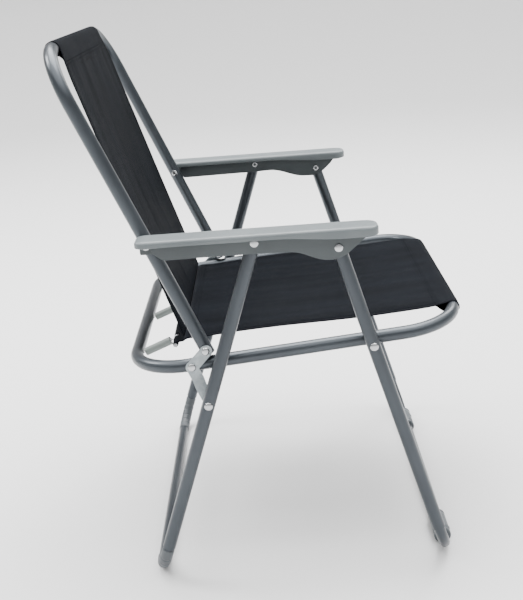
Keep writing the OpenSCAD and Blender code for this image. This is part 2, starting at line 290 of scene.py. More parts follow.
def m_zinc():
    t = Tree("zinc_plate")
    t.set(Metallic=0.9)
    v = t.coords()
    vor = t.n("ShaderNodeTexVoronoi")
    vor.inputs["Scale"].default_value = 210
    t.l(v, vor.inputs["Vector"])
    sp = t.n("ShaderNodeSeparateColor")
    t.l(vor.outputs["Color"], sp.inputs[0])
    big = t.noise(v, 60, 3)
    c = t.ramp(sp.outputs[0], [(0.0, (0.25, 0.28, 0.295)), (1.0, (0.34, 0.37, 0.38))])
    c = t.mix(t.mapr(big, 0.4, 0.7, 0.0, 0.5), c, (0.21, 0.235, 0.245))
    t.l(c, t.b.inputs["Base Color"])
    t.l(t.mapr(big, 0.3, 0.7, 0.36, 0.5), t.b.inputs["Roughness"])
    t.bump(t.noise(v, 700, 3), 0.12, 0.0003)
    return t.mat


def m_bright(name, base, rough):
    t = Tree(name)
    t.set(Metallic=1.0)
    v = t.coords()
    big = t.noise(v, 160, 3)
    c = t.ramp(big, [(0.3, tuple(x * 0.9 for x in base)), (0.7, base)])
    t.l(c, t.b.inputs["Base Color"])
    t.l(t.mapr(t.noise(v, 900, 3), 0.3, 0.7, rough * 0.8, rough * 1.5), t.b.inputs["Roughness"])
    t.bump(t.noise(v, 1500, 2), 0.08, 0.0002)
    return t.mat


def m_cloth(name, dark, light, pitch_mm=0.9):
    """Plain weave from the sheet's own UV, which is in metres along the weft and the warp."""
    t = Tree(name)
    uv = t.n("ShaderNodeUVMap")
    sep = t.n("ShaderNodeSeparateXYZ")
    t.l(uv.outputs["UV"], sep.inputs[0])
    k = 2 * math.pi / (2 * pitch_mm / 1000)
    su = t.math("SINE", t.math("MULTIPLY", sep.outputs[0], k))
    sv = t.math("SINE", t.math("MULTIPLY", sep.outputs[1], k))
    over = t.math("MULTIPLY", su, sv)                         # which yarn is on top
    yu = t.math("ABSOLUTE", t.math("SINE", t.math("MULTIPLY", sep.outputs[0], k)))
    yv = t.math("ABSOLUTE", t.math("SINE", t.math("MULTIPLY", sep.outputs[1], k)))
    sel = t.math("GREATER_THAN", over, 0.0)
    h = t.math("ADD", t.math("MULTIPLY", sel, yu), t.math("MULTIPLY", t.math("SUBTRACT", 1.0, sel), yv))
    v = t.coords()
    streak = t.noise(t.coords(scale=(1, 0.06, 0.06)), 55, 4, 0.6)
    blot = t.noise(v, 12, 4)
    c = t.ramp(t.math("ADD", t.math("MULTIPLY", streak, 0.6), t.math("MULTIPLY", blot, 0.4)), [(0.36, dark), (0.64, light)])
    # painted shade: the colour darkens towards near-black where the weave is low, between the yarns
    c = t.mix(t.mapr(h, 0.0, 0.45, 0.55, 0.0), c, tuple(x * 0.35 for x in dark))
    t.l(c, t.b.inputs["Base Color"])
    t.l(t.mapr(h, 0.0, 1.0, 0.78, 0.56), t.b.inputs["Roughness"])
    t.set(Sheen_Weight=0.001, Sheen_Roughness=0.45, Sheen_Tint=(0.62, 0.70, 0.85), Specular_IOR_Level=0.02)
    t.bump(t.math("ADD", h, t.math("MULTIPLY", streak, 0.5)), 0.35, 0.0003)
    return t.mat


MAT = {
    "tube": m_tube(),
    "arm": m_plastic("armrest_plastic", (0.088, 0.103, 0.108), (0.112, 0.128, 0.133), 0.42),
    # painted shade: the skirts, lug and ribs take a copy of the armrest plastic at about half the brightness, standing
    # for the shade under the top plate; its grain, roughness and gloss also differ a little
    "arm_side_painted_shade": m_plastic("armrest_plastic_grained_and_painted_shade", (0.042, 0.050, 0.053), (0.054, 0.063, 0.066), 0.50, 520, 0.35),
    "foot": m_plastic("foot_plastic", (0.050, 0.058, 0.065), (0.068, 0.078, 0.086), 0.44),
    "boot": m_plastic("boot_plastic", (0.044, 0.051, 0.057), (0.060, 0.068, 0.075), 0.46),
    "spacer": m_plastic("spacer_plastic", (0.05, 0.055, 0.06), (0.075, 0.08, 0.085), 0.42),
    "sleeve": m_plastic("spring_sleeve_plastic", (0.150, 0.175, 0.165), (0.195, 0.220, 0.208), 0.40, 900),
    "zinc": m_zinc(),
    "rivet": m_bright("rivet_nickel", (0.46, 0.47, 0.48), 0.13),
    "wire": m_bright("zinc_wire", (0.62, 0.63, 0.64), 0.28),
    # painted shade: near-black stands for the shade inside each rivet's bore
    "dark": m_plastic("rivet_bore_painted_shade", (0.008, 0.008, 0.009), (0.015, 0.015, 0.017), 0.6),
    "cloth": m_cloth("woven_cloth", (0.0030, 0.0036, 0.0050), (0.0054, 0.0065, 0.0088)),
    "thread": m_plastic("thread", (0.0034, 0.0041, 0.0056), (0.0058, 0.0069, 0.0093), 0.8, 2500, 0.03),
}


def paint(node, mat):
    o = NODE[node]
    if not o.data.materials:
        o.data.materials.append(mat)
    for i in range(len(o.data.materials)):
        o.data.materials[i] = mat


def refine(name, node, body, mat, edge=0.0, segs=2, weld=1e-6, angle=35, auto=40):
    """A welded, softened copy of a CAD node, with eased edges, that stands for it."""
    me = NODE[node].data.copy()
    ob = bpy.data.objects.new(name, me)
    col.objects.link(ob)
    bm = bmesh.new()
    bm.from_mesh(me)
    bmesh.ops.remove_doubles(bm, verts=bm.verts, dist=weld)
    bmesh.ops.dissolve_degenerate(bm, edges=bm.edges, dist=1e-7)
    if edge:
        bmesh.ops.dissolve_limit(bm, angle_limit=math.radians(0.6), verts=bm.verts, edges=bm.edges)
    bmesh.ops.recalc_face_normals(bm, faces=bm.faces)
    bm.to_mesh(me)
    bm.free()
    if edge:
        bevel(ob, edge, segs, angle)
    me = ob.data
    me.materials.clear()
    me.materials.append(mat)
    me.polygons.foreach_set("material_index", [0] * len(me.polygons))
    smooth_by_angle(ob, auto)
    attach(ob, body)
    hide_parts(node)
    return ob


# ------------------------------------------------------------------ tubes
for n in ("back_frame", "seat_frame", "front_leg_tubes", "rear_leg_tubes", "front_ground_bar", "rear_ground_bar"):
    paint(n, MAT["tube"])


def sweep(pts, r, sides=20, closed=False, cap=True):
    """Round bar along points, with parallel-transported rings."""
    n = len(pts)
    tang = []
    for i in range(n):
        a = pts[i - 1] if (i or closed) else pts[i]
        b = pts[(i + 1) % n] if (i < n - 1 or closed) else pts[i]
        tang.append((b - a).normalized())
    up = Vector((0, 0, 1)) if abs(tang[0].z) < 0.9 else Vector((1, 0, 0))
    nrm = (up - tang[0] * up.dot(tang[0])).normalized()
    verts, faces = [], []
    for i in range(n):
        nrm = (nrm - tang[i] * nrm.dot(tang[i])).normalized()
        bi = tang[i].cross(nrm)
        for j in range(sides):
            a = 2 * math.pi * j / sides
            verts.append(pts[i] + r * (math.cos(a) * nrm + math.sin(a) * bi))
    rows = n if closed else n - 1
    for i in range(rows):
        for j in range(sides):
            a, b = i * sides + j, i * sides + (j + 1) % sides
            c, d = ((i + 1) % n) * sides + (j + 1) % sides, ((i + 1) % n) * sides + j
            faces.append((a, b, c, d))
    if cap and not closed:
        faces.append(tuple(range(sides - 1, -1, -1)))
        faces.append(tuple((n - 1) * sides + j for j in range(sides)))
    return verts, faces


# ------------------------------------------------------------------ armrests
ARM_TOP = A2[1] + 14.5
ARM_T = 2.2
ARM_REAR = A1[0] - 11.5
ARM_FRONT = A3[0] + 51
ARM_IN, ARM_OUT = 241.4, 282.0
SKIRT = TR + 0.4


def plan(inset, n=9):
    """Outline of the armrest's top plate at an inset, as (forward, lateral), the same number of points for every inset."""
    pts = []
    for cx, cy, rad, a0 in (
        (ARM_FRONT, ARM_OUT, 14.0, 0), (ARM_REAR, ARM_OUT, 12.0, 90),
        (ARM_REAR, ARM_IN, 12.0, 180), (ARM_FRONT, ARM_IN, 14.0, 270)):
        r = max(rad - inset, 0.4)
        sx = 1 if cx == ARM_FRONT else -1
        sy = 1 if cy == ARM_OUT else -1
        ox, oy = cx - sx * (inset + r), cy - sy * (inset + r)
        for i in range(n):
            a = math.radians(a0 + 90 * i / (n - 1))
            pts.append((ox + r * math.cos(a), oy + r * math.sin(a)))
    # extra points along the long sides, so that the lip can change depth
    out = []
    m = len(pts)
    for i in range(m):
        p, q = pts[i], pts[(i + 1) % m]
        out.append(p)
        if i in (n - 1, 3 * n - 1):
            for j in range(1, 30):
                t = j / 30
                out.append((p[0] + (q[0] - p[0]) * t, p[1] + (q[1] - p[1]) * t))
    return out


def sstep(a, b, x):
    t = min(1, max(0, (x - a) / (b - a)))
    return t * t * (3 - 2 * t)


def lip_z(f):
    """Bottom edge of the rim: deeper towards the front, then up round the nose."""
    return ARM_TOP - 8.6 - 5.0 * sstep(10, 96, f) + 1.2 * sstep(124, 139, f) - 0.6 * sstep(-120, -160, f)


def top_drop(f, x):
    """The top is slightly crowned, and its nose and tail roll down."""
    mid = (ARM_IN + ARM_OUT) / 2
    c = ((x - mid) / 20.3) ** 2
    return 0.9 * c + 0.9 * sstep(112, 139.5, f) ** 2 + 0.5 * sstep(-158, -167, f)


def armrest(side):
    parts = []
    # rim and top plate, outside then inside
    prof = [("b", 0.0, 0.5), ("b", 0.0, 1.4)]
    rows = []
    R = 4.0
    rows.append((0.7, "lip", 0.0))
    rows.append((0.15, "lip", 0.35))
    rows.append((0.0, "lip", 1.0))
    rows.append((0.0, "top", R + 0.6))
    for i in range(7):
        a = math.radians(90 * i / 6)
        rows.append((R * (1 - math.cos(a)), "top", R * (1 - math.sin(a))))
    for ins in (6.5, 10, 14.5, 19.2):
        rows.append((ins, "top", 0.0))
    verts, faces = [], []
    count = len(plan(0))
    def ring(ins, kind, dz):
        for f, x in plan(ins):
            if kind == "lip":
                z = lip_z(f) + dz
            elif kind == "top":
                z = ARM_TOP - dz - top_drop(f, x)
            else:
                z = ARM_TOP - ARM_T - dz - top_drop(f, x) * 0.9
            verts.append(W(f, z, x * side))
    for r in rows:
        ring(*r)
    inner0 = len(rows)
    inner = [(1.5, "lip", 0.0), (ARM_T, "lip", 0.5), (ARM_T, "under", 1.6), (ARM_T + 1.6, "under", 0.0), (10, "under", 0.0), (19.2, "under", 0.0)]
    for r in inner:
        ring(*r)
    def quads(a, b, flip=False):
        for j in range(count):
            k = (j + 1) % count
            q = (a * count + j, a * count + k, b * count + k, b * count + j)
            faces.append(q if not flip else q[::-1])
    for i in range(len(rows) - 1):
        quads(i, i + 1)
    quads(inner0, 0)
    for i in range(len(inner) - 1):
        quads(inner0 + i + 1, inner0 + i)
    # close the middle strips
    for base in (len(rows) - 1, inner0 + len(inner) - 1):
        loop = [base * count + j for j in range(count)]
        faces.append(tuple(loop))
    plate = new_obj("tmp_plate", verts, faces, True, MAT["arm"])
    bm = bmesh.new()
    bm.from_mesh(plate.data)
    big = [f for f in bm.faces if len(f.verts) > 4]
    bmesh.ops.triangulate(bm, faces=big)
    bmesh.ops.recalc_face_normals(bm, faces=bm.faces)
    bm.to_mesh(plate.data)
    bm.free()
    parts.append(plate)

    # skirts
    Y = ARM_TOP - ARM_T - 0.4
    out_p = [(A1[0] + 8, Y - 1.0), (A1[0] + 8, Y - 8.6), (A1[0] + 9.7, A1[1] - 4.3), (A1[0] + 22.5, A1[1] - 14.4), (A1[0] + 69, A1[1] - 13.9),
             (A2[0] + 4, A2[1] - 14), (A2[0] + 44, A2[1] - 15)]
    out_p += [(A2[0] + 44 + i / 16 * 49, A2[1] - 15 - 13.5 * (1 - math.cos(math.pi * i / 16)) / 2) for i in range(1, 16)]
    out_p += [(A3[0] - 7, A3[1] - 15.2), (A3[0] + 1, A3[1] - 13.3), (A3[0] + 11, A3[1] - 8.8), (A3[0] + 29.4, A3[1] + 6.8), (A3[0] + 41, A3[1] + 16.2), (A3[0] + 41, Y - 3.0)]
    in_p = [(A1[0] + 8, Y - 1.0), (A1[0] + 8, A1[1] - 6), (A1[0] + 13.5, A1[1] - 14), (A2[0] - 9, A2[1] - 12.7), (A2[0] + 26, A2[1] - 11.7)]
    in_p += [(A2[0] + 26 + i / 12 * 60, A2[1] - 11.7 - 14 * (1 - math.cos(math.pi * i / 12)) / 2) for i in range(1, 12)]
    in_p += [(A3[0] - 3.5, A3[1] - 12.5), (A3[0] + 12.5, A3[1] - 5), (A3[0] + 25.5, A3[1] + 6.5), (A3[0] + 34.5, A3[1] + 18), (A3[0] + 34.5, Y - 2.0)]

    def smooth_poly(p, keep):
        """Rounds a polygon's corners lightly, leaving the listed ones."""
        o = []
        m = len(p)
        for i in range(m):
            a, b, c = v2(p[i - 1]), v2(p[i]), v2(p[(i + 1) % m])
            if i in keep:
                o.append(tuple(b))
                continue
            la, lc = (a - b).length, (c - b).length
            d = min(3.0, la * 0.42, lc * 0.42)
            s, e = b + (a - b) / la * d, b + (c - b) / lc * d
            for k in range(5):
                t = k / 4
                o.append(tuple(s * (1 - t) ** 2 + b * 2 * t * (1 - t) + e * t * t))
        return o

    def slab(p, x0, x1, name):
        m = len(p)
        vs = [W(f, z, x0 * side) for f, z in p] + [W(f, z, x1 * side) for f, z in p]
        fs = [tuple(range(m)), tuple(range(2 * m - 1, m - 1, -1))] + [(i, m + i, m + (i + 1) % m, (i + 1) % m) for i in range(m)]
        # painted shade: every slab (skirts, lug, ribs) gets the darker side copy of the armrest plastic
        ob = new_obj(name, vs, fs, True, MAT["arm_side_painted_shade"])
        fix_normals(ob)
        bevel(ob, 0.0006, 2, 50)
        return ob

    po, pi = smooth_poly(out_p, (0, len(out_p) - 1)), smooth_poly(in_p, (0, len(in_p) - 1))
    parts.append(slab(po, LEG_X + SKIRT, LEG_X + SKIRT + ARM_T, "tmp_so"))
    parts.append(slab(pi, LEG_X - SKIRT - ARM_T, LEG_X - SKIRT, "tmp_si"))
    # lug at the back pivot
    lug = [(A1[0] - 8.5, Y - 1.5), (A1[0] - 8.5, A1[1] - 9.6), (A1[0] - 7.2, A1[1] - 11), (A1[0] + 7.2, A1[1] - 11), (A1[0] + 8.5, A1[1] - 9.6), (A1[0] + 8.5, Y - 1.5)]
    parts.append(slab(lug, ARM_IN + 0.05, ARM_IN + 7.2, "tmp_lug"))
    # stiffening ribs inside the channel, seen from below
    for f in (-112, -62, 20, 52, 118):
        zt = ARM_TOP - ARM_T + 0.2 - (1.5 if f > 100 else 0)
        rib = [(f - 0.8, zt), (f - 0.8, zt - 2.4), (f + 0.8, zt - 2.4), (f + 0.8, zt)]
        parts.append(slab(rib, ARM_IN + 3.5, ARM_OUT - 3.5, "tmp_rib"))
    name = "armrest_left_moulded" if side < 0 else "armrest_right_moulded"
    ob = join(name, parts)
    smooth_by_angle(ob, 42)
    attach(ob, "armrests")
    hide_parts("left_armrest" if side < 0 else "right_armrest")
    return ob


armrest(-1)
armrest(1)

# ------------------------------------------------------------------ links, rivets, spacers, feet
for n in ("left_v_link", "right_v_link"):
    refine(n.replace("_v_", "_pressed_v_"), n, "links", MAT["zinc"], 0.00045, 3)


def rivet_set(name, node, body, pts, head=True, tail=True):
    """Each rivet: (point, head side x, tail x). A domed head with a soft brim, and a rolled tail whose bore holds a
    near-black plug as painted shade.
    """
    parts = []
    for q, xh, xt in pts:
        for side in (-1, 1):
            def lathe(prof, mat, n=36):
                vs, fs = [], []
                m = len(prof)
                for j in range(n):
                    a = 2 * math.pi * j / n
                    for r, x in prof:
                        c = W(q[0], q[1], 0)
                        vs.append(Vector((side * x / 1000, c.y + r * math.cos(a) / 1000, c.z + r * math.sin(a) / 1000)))
                for j in range(n):
                    k = (j + 1) % n
                    for i in range(m - 1):
                        fs.append((j * m + i, j * m + i + 1, k * m + i + 1, k * m + i))
                ob = new_obj("tmp_r", vs, fs, True, mat)
                bm = bmesh.new(); bm.from_mesh(ob.data)
                bmesh.ops.remove_doubles(bm, verts=bm.verts, dist=1e-7)
                bmesh.ops.recalc_face_normals(bm, faces=bm.faces)
                bm.to_mesh(ob.data); bm.free()
                smooth_by_angle(ob, 50)
                return ob
            if xh is not None:
                R, H = 5.6, 2.4
                prof = [(0.0001, xh + H)] + [(R * 0.985 * math.sin(math.radians(a)), xh + 0.35 + (H - 0.35) * math.cos(math.radians(a))) for a in range(10, 91, 10)]
                prof += [(R, xh + 0.3), (R - 0.1, xh + 0.05), (R - 0.6, xh), (2.95, xh), (2.95, xh - 1.5), (0.0001, xh - 1.5)]
                parts.append(lathe(prof, MAT["rivet"]))
            if xt is not None:
                prof = [(2.95, xt + 2.0), (2.95, xt), (4.2, xt), (4.6, xt - 0.25), (4.65, xt - 0.6), (4.3, xt - 1.0), (3.6, xt - 1.15), (2.8, xt - 1.05), (2.1, xt - 0.55), (1.8, xt + 0.2), (1.8, xt + 2.0), (2.95, xt + 2.0)]
                parts.append(lathe(prof, MAT["rivet"]))
                # painted shade: a near-black plug inside the bore of the tail
                parts.append(lathe([(0.0001, xt + 0.6), (1.85, xt + 0.6), (1.85, xt + 1.4), (0.0001, xt + 1.4), (0.0001, xt + 0.6)], MAT["dark"], 20))
    ob = join(name, parts)
    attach(ob, body)
    if node:
        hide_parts(node)
    return ob


RAIL_IN = RAIL_X - TR - 0.05
LINK_IN = RAIL_X + TR + 0.5
LINK_LOW = LEG_X - TR - 0.8 - 2.0
rivet_set("rivets_back_pivot", "armrest_back_rivets", "back", [(A1, ARM_IN + 7.3, RAIL_IN)])
rivet_set("rivets_rear_leg_top", "armrest_rear_leg_rivets", "rear_legs", [(A2, LEG_X + SKIRT + 2.3, LEG_X - SKIRT - 2.3)])
rivet_set("rivets_front_leg_top", "armrest_front_leg_rivets", "front_legs", [(A3, LEG_X + SKIRT + 2.3, LEG_X - SKIRT - 2.3)])
rivet_set("rivets_link_back", "link_back_rivets", "back", [(B1, LINK_IN + 2.1, RAIL_IN)])
rivet_set("rivets_link_seat", "link_seat_rivets", "seat", [(K0, LINK_IN + 2.1, RAIL_IN)])
rivet_set("rivets_seat_leg_heads", "seat_pivot_rivets", "front_legs", [(S1, LEG_X + TR + 0.1, None)])
rivet_set("rivets_seat_rail_tails", "seat_pivot_rivet_tails", "seat", [(S1, None, RAIL_IN)])
rivet_set("rivets_link_leg_heads", "link_leg_rivets", "rear_legs", [(R1, LEG_X + TR + 0.1, None)])
rivet_set("rivets_link_leg_tails", "link_leg_rivet_tails", "links", [(R1, None, LINK_LOW - 0.1)])

refine("spacer_washers", "seat_pivot_spacers", "front_legs", MAT["spacer"], 0.0007, 3, angle=40)


BAR_R = 7.75


def shell(name, centres, side_vecs, up_vecs, prof, floor_z=None, n=64):
    """Rings of radius prof[i] at centres[i], closed on an inner wall that fits the bar."""
    vs, fs = [], []
    def ring(i, r):
        for j in range(n):
            a = 2 * math.pi * j / n
            p = centres[i] + side_vecs[i] * (r * math.cos(a)) + up_vecs[i] * (r * math.sin(a))
            if floor_z is not None:
                p = Vector((p.x, p.y, max(p.z, floor_z)))
            vs.append(p / 1000)
    for i, r in enumerate(prof):
        ring(i, r)
    ring(len(prof) - 1, BAR_R + 0.05)
    m = len(prof)
    for i in range(m - 2, -1, -1):
        ring(i, BAR_R + 0.05)
    rows = 2 * m
    for i in range(rows):
        a, b = i, (i + 1) % rows
        for j in range(n):
            k = (j + 1) % n
            fs.append((a * n + j, a * n + k, b * n + k, b * n + j))
    ob = new_obj(name, vs, fs)
    fix_normals(ob)
    return ob


def wpt(q, x):
    w = W(q[0], q[1], x)
    return w * 1000


def front_foot():
    """Plastic sleeve: a moulded collar at each end and a flat sole."""
    x1 = LEG_X - BEND - 1.0
    x0 = x1 - 57.0
    R = 12.4
    st = [(x0, R - 1.5), (x0 + 0.5, R - 0.5), (x0 + 1.5, R), (x0 + 5.2, R), (x0 + 6.0, R - 0.6), (x0 + 6.8, R - 0.6), (x0 + 7.6, R - 0.1)]
    st += [(x0 + t, R - 0.1) for t in (16, 28.5, 41)]
    st += [(x1 - 7.6, R - 0.1), (x1 - 6.8, R - 0.6), (x1 - 6.0, R - 0.6), (x1 - 5.2, R), (x1 - 1.5, R), (x1 - 0.5, R - 0.5), (x1, R - 1.5)]
    parts = []
    for side in (-1, 1):
        cs = [wpt(FF, side * x) for x, r in st]
        parts.append(shell("tmp_f", cs, [Vector((0, 1, 0))] * len(st), [Vector((0, 0, 1))] * len(st), [r for x, r in st], 0.0))
        # drain slot and moulding gate on the outer face, seen as a small dark oval
        xs = side * (x1 - 17.0)
        c = wpt(FF, xs) + Vector((0, -R + 0.15, 1.5))
        vs, fs = [], []
        for k, (rr, dd) in enumerate(((3.4, -0.1), (3.0, -0.35), (2.4, -0.05), (0.01, 0.0))):
            for j in range(20):
                a = 2 * math.pi * j / 20
                vs.append((c + Vector((rr * 1.5 * math.cos(a), dd, rr * 0.8 * math.sin(a)))) / 1000)
        for k in range(3):
            for j in range(20):
                q = (j + 1) % 20
                fs.append((k * 20 + j, k * 20 + q, (k + 1) * 20 + q, (k + 1) * 20 + j))
        fs.append(tuple(range(20)))
        g = new_obj("tmp_g", vs, fs)
        fix_normals(g)
        parts.append(g)
    ob = join("foot_sleeves_front", parts)
    ob.data.materials.clear()
    ob.data.materials.append(MAT["foot"])
    smooth_by_angle(ob, 38)
    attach(ob, "front_legs")
    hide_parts("front_foot_sleeves")


def rear_foot():
    """Thin ringed boot round each bend of the rear bar."""
    L = (v2(RF) - v2(A2)).length
    d = unit(A2, RF)
    Yw = Vector((0, -d[0], d[1]))                 # down the leg
    Bc = v2(A2) + d * (L - BEND)                  # the bend starts here on the leg's line
    Nw = Vector((1, 0, 0)).cross(Yw)              # square to the plane of the bend
    grooves = (22.0, 34.0, 47.0, 60.0, 72.0)
    parts = []
    for side in (-1, 1):
        cen = W(Bc[0], Bc[1], side * (LEG_X - BEND)) * 1000
        cs, ss, us, pr = [], [], [], []
        k = 172
        for i in range(k + 1):
            a = 4.0 + 86.0 * i / k                # from the leg end to the bar
            an = math.radians(a)
            rad = Vector((side * math.cos(an), 0, 0)) + Yw * math.sin(an)
            g = min(abs(a - q) for q in grooves)
            r = 8.7 - (0.6 * (1 - (g / 1.6) ** 2) if g < 1.6 else 0.0)
            e = min(a - 4.0, 90.0 - a)
            if e < 1.5:
                r = 8.7 - 0.45 * (1 - e / 1.5) ** 2
            elif e < 6.0:
                r = 8.7
            cs.append(cen + rad * BEND)
            ss.append(Nw)
            us.append(rad)
            pr.append(r)
        parts.append(shell("tmp_b", cs, ss, us, pr, 0.0))
    ob = join("foot_boots_rear", parts)
    ob.data.materials.clear()
    ob.data.materials.append(MAT["boot"])
    smooth_by_angle(ob, 38)
    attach(ob, "rear_legs")
    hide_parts("rear_foot_sleeves")


front_foot()
rear_foot()

# ------------------------------------------------------------------ sling
def arc2(c, r, a0, a1, n):
    return [Vector((c[0] + r * math.cos(a0 + (a1 - a0) * i / n), c[1] + r * math.sin(a0 + (a1 - a0) * i / n))) for i in range(n + 1)]


def resample(pts, step):
    """Even steps along a polyline."""
    d = [0.0]
    for a, b in zip(pts, pts[1:]):
        d.append(d[-1] + (b - a).length)
    n = max(2, round(d[-1] / step))
    out, j = [], 0
    for i in range(n + 1):
        t = d[-1] * i / n
        while j < len(d) - 2 and d[j + 1] < t:
            j += 1
        u = (t - d[j]) / max(1e-9, d[j + 1] - d[j])
        out.append(pts[j] * (1 - u) + pts[j + 1] * u)
    return out, d[-1]


def cat(pts, n=8):
    """Smooth curve through points."""
    o = []
    for i in range(len(pts) - 1):
        p0, p1, p2, p3 = pts[max(0, i - 1)], pts[i], pts[i + 1], pts[min(len(pts) - 1, i + 2)]
        for k in range(n):
            t = k / n
            o.append(0.5 * (2 * p1 + (p2 - p0) * t + (2 * p0 - 5 * p1 + 4 * p2 - p3) * t * t + (3 * p1 - p0 - 3 * p2 + p3) * t ** 3))
    o.append(pts[-1])
    return o


CT = 1.1       # cloth thickness


def cloth(name, path, step, hw, disp, hem_w, mat, nx=72, window=None):
    """A sheet along a path drawn as [forward, up]; hw(d) is its half width and disp(d, v) its offset along the normal, with d the distance along it."""
    pts, length = resample(path, step)
    m = len(pts)
    nor = []
    for i in range(m):
        t = (pts[min(m - 1, i + 1)] - pts[max(0, i - 1)]).normalized()
        nor.append(Vector((-t[1], t[0])))
    # columns: closer together at the hems
    vs_ = []
    for j in range(nx + 1):
        u = -1 + 2 * j / nx
        vs_.append(u)
    verts, faces, uvs = [], [], []
    for i in range(m):
        d = length * i / (m - 1)
        h = hw(d)
        cols = []
        for u in vs_:
            x = u * h
            cols.append(x)
        # snap columns to the hem line
        for side in (-1, 1):
            for off in (hem_w, hem_w + 1.1, hem_w - 1.1):
                tgt = side * (h - off)
                k = min(range(1, nx), key=lambda q: abs(cols[q] - tgt))
                cols[k] = tgt
        cols = sorted(cols)
        for x in cols:
            e = h - abs(x)
            dd = disp(d, x)
            # rolled edge, doubled hem and its stitched groove
            if e < hem_w:
                dd += 0.32
            if abs(e - hem_w) < 0.4:
                dd -= 0.42
            p = pts[i] + nor[i] * dd
            verts.append(W(p[0], p[1], x))
            uvs.append((x / 1000, d / 1000))
    w = nx + 1
    for i in range(m - 1):
        for j in range(nx):
            f = (i * w + j, i * w + j + 1, (i + 1) * w + j + 1, (i + 1) * w + j)
            if window is None or not window(sum((verts[q] for q in f), Vector()) * 250):
                faces.append(f)
    ob = new_obj(name, verts, faces, True, mat)
    uvl = ob.data.uv_layers.new(name="UVMap")
    for lp in ob.data.loops:
        uvl.data[lp.index].uv = uvs[lp.vertex_index]
    s = ob.modifiers.new("thick", "SOLIDIFY")
    s.thickness = CT / 1000
    s.offset = 0
    s.use_even_offset = False
    apply_mods(ob)
    fix_normals(ob)
    ob.data.polygons.foreach_set("use_smooth", [True] * len(ob.data.polygons))
    return ob, pts, nor, length


def stitches(name, line, body, r=0.32, length=2.6, pitch=3.8):
    """Thread along world points: each stitch is a small rounded capsule."""
    verts, faces = [], []
    dist, nxt = 0.0, pitch / 2
    for (a, na), (b, nb) in zip(line, line[1:]):
        seg = (b - a).length * 1000
        while nxt <= dist + seg:
            t = (nxt - dist) / seg
            c = a.lerp(b, t)
            tdir = (b - a).normalized()
            nn = na.lerp(nb, t).normalized()
            bi = tdir.cross(nn)
            base = len(verts)
            prof = [(-0.5, 0.15), (-0.42, 0.75), (-0.2, 1.0), (0.2, 1.0), (0.42, 0.75), (0.5, 0.15)]
            for s, q in prof:
                for j in range(6):
                    an = 2 * math.pi * j / 6
                    lift = r * (0.6 - 1.6 * abs(s) ** 2 * 2) if abs(s) > 0.3 else r * 0.6
                    verts.append(c + tdir * (s * length / 1000) + (nn * (math.cos(an) * q * r + lift) + bi * (math.sin(an) * q * r)) / 1000)
            for i in range(len(prof) - 1):
                for j in range(6):
                    k = (j + 1) % 6
                    faces.append((base + i * 6 + j, base + i * 6 + k, base + (i + 1) * 6 + k, base + (i + 1) * 6 + j))
            faces.append(tuple(base + j for j in range(5, -1, -1)))
            faces.append(tuple(base + (len(prof) - 1) * 6 + j for j in range(6)))
            nxt += pitch
        dist += seg
    ob = new_obj(name, verts, faces, True, MAT["thread"])
    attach(ob, body)
    return ob


R_IN = TR + 0.25 + CT / 2       # middle of the cloth round a tube
ang_b = math.atan2(BD[1], BD[0])
fwd_b = Vector((BD[1], -BD[0]))
af = math.atan2(fwd_b[1], fwd_b[0])

# back: free end of the sleeve behind the panel, round the top bar, then down to the corner
bk = [on_back(402.0, 10.6 - CT - 1.2), on_back(412.0, 8.0), on_back(420.0, 3.0)]
bk_arc = arc2(TOP, R_IN, af + math.radians(-155), af + math.radians(-360), 34)
bk_arc = [p for p in reversed(bk_arc)]
# from the front tangent over the top to the rear underside
front_over = arc2(TOP, R_IN, af, af + math.radians(232), 36)
main = [on_back(s, o) for s, o in ((12.6, -30.6), (30, -28.9), (60, -26.2), (120, -20.6), (200, -13.0), (290, -3.9), (360, 3.1), (405, 7.8), (424, R_IN - 0.25))]
back_path = cat(main, 6) + front_over + [on_back(419.5, 3.4), on_back(413.0, 6.6), on_back(398.0, 6.9 - 1.0)]
L_MAIN = sum((b - a).length for a, b in zip(cat(main, 6), cat(main, 6)[1:]))


def hw_back(d):
    t = sstep(L_MAIN - 44, L_MAIN + 4, d)
    return 178.0 - 15.0 * t ** 1.4 - 0.0 * d


def crease(x, y, seed):
    return noise.noise(Vector((x * 0.030 + 0.0022 * y, y * 0.0028, seed)))


def disp_back(d, x):
    s = min(1.0, max(0.0, d / L_MAIN))
    inner = sstep(0, 30, d) * (1 - sstep(L_MAIN - 26, L_MAIN - 4, d))
    u = x / 178.0
    sag = 6.5 * math.sin(math.pi * s) ** 0.9 * (1 - u * u) if 0 < s < 1 else 0.0
    fold = 1.1 * crease(x, d, 3.1) + 0.35 * noise.noise(Vector((x * 0.075, d * 0.006, 8.7)))
    fan = 0.22 * math.sin(x * 0.085 + 0.004 * d) * sstep(L_MAIN - 190, L_MAIN - 30, d)
    return inner * (sag + (fold + fan) * (1 - 0.3 * abs(u)))


back, bpts, bnor, blen = cloth("sling_back_cloth", back_path, 4.0, hw_back, disp_back, 11.0, MAT["cloth"])
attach(back, "back_sling")
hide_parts("sling_back")


def seam_line(pts, nor, length, hw, disp, off, side, d0, d1, lift):
    """World points with normals along a hem, at a distance from the edge."""
    m = len(pts)
    out = []
    for i in range(m):
        d = length * i / (m - 1)
        if not d0 <= d <= d1:
            continue
        x = side * (hw(d) - off)
        for sgn in (1,):
            p = pts[i] + nor[i] * (disp(d, x) + lift)
            nn = nor[i] * (1 if lift > 0 else -1)
            out.append((W(p[0], p[1], x), (W(nn[0], nn[1]) - W(0, 0)).normalized()))
    return out


